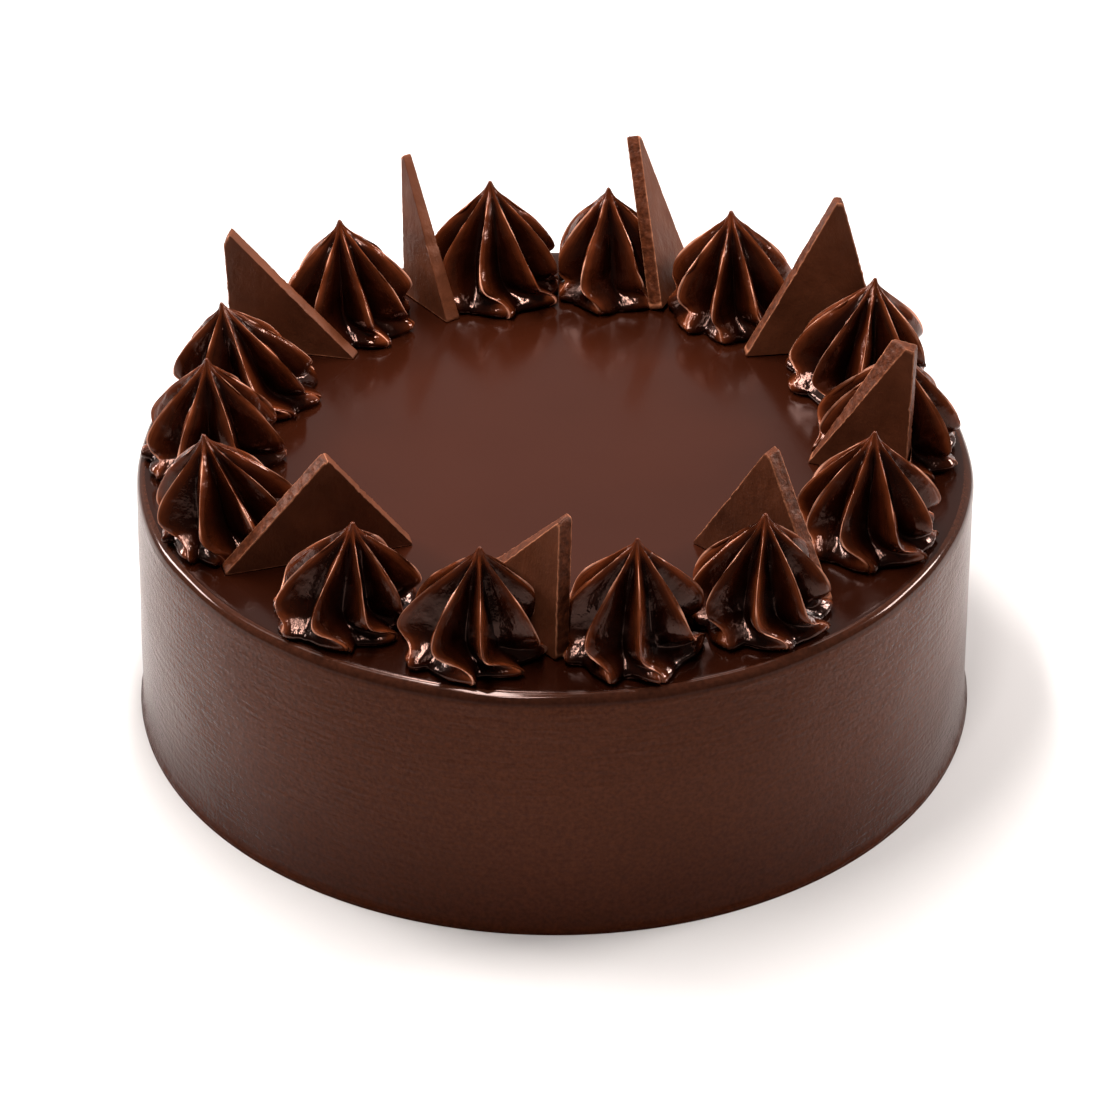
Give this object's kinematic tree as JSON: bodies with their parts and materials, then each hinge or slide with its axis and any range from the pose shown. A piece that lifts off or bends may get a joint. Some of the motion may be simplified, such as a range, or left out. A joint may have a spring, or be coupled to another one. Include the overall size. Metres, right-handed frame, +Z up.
{
  "type": "chocolate cake",
  "caption": "Round chocolate cake: smooth coated side, glossy glazed top, a ring of piped chocolate cream stars and standing chocolate shards.",
  "frame": {"origin": "middle of the cake's flat underside, on the surface it stands on", "axes": "+Z up; -Y is the side from which the picture looks at it"},
  "size_m": [0.212, 0.212, 0.1102],
  "materials": {
    "side_coat": "satin dark chocolate coat with fine streaks and grain",
    "glaze": "glossy dark chocolate glaze, smooth and slightly uneven",
    "piped_cream": "semi-gloss dark chocolate ganache cream, warm brown where its ridges thin out",
    "chocolate_shard": "satin dark chocolate with fine grain, paler along its cut edges"
  },
  "bodies": {
    "root": {"cake_drum": "side_coat", "top_glaze": "glaze", "star_01": "piped_cream", "star_02": "piped_cream", "star_03": "piped_cream", "star_04": "piped_cream", "star_05": "piped_cream", "star_06": "piped_cream", "star_07": "piped_cream", "star_08": "piped_cream", "star_09": "piped_cream", "star_10": "piped_cream", "star_11": "piped_cream", "star_12": "piped_cream", "star_13": "piped_cream", "star_14": "piped_cream", "shard_1": "chocolate_shard", "shard_2": "chocolate_shard", "shard_3": "chocolate_shard", "shard_4": "chocolate_shard", "shard_5": "chocolate_shard", "shard_6": "chocolate_shard", "shard_7": "chocolate_shard", "shard_8": "chocolate_shard"}
  },
  "joints": []
}
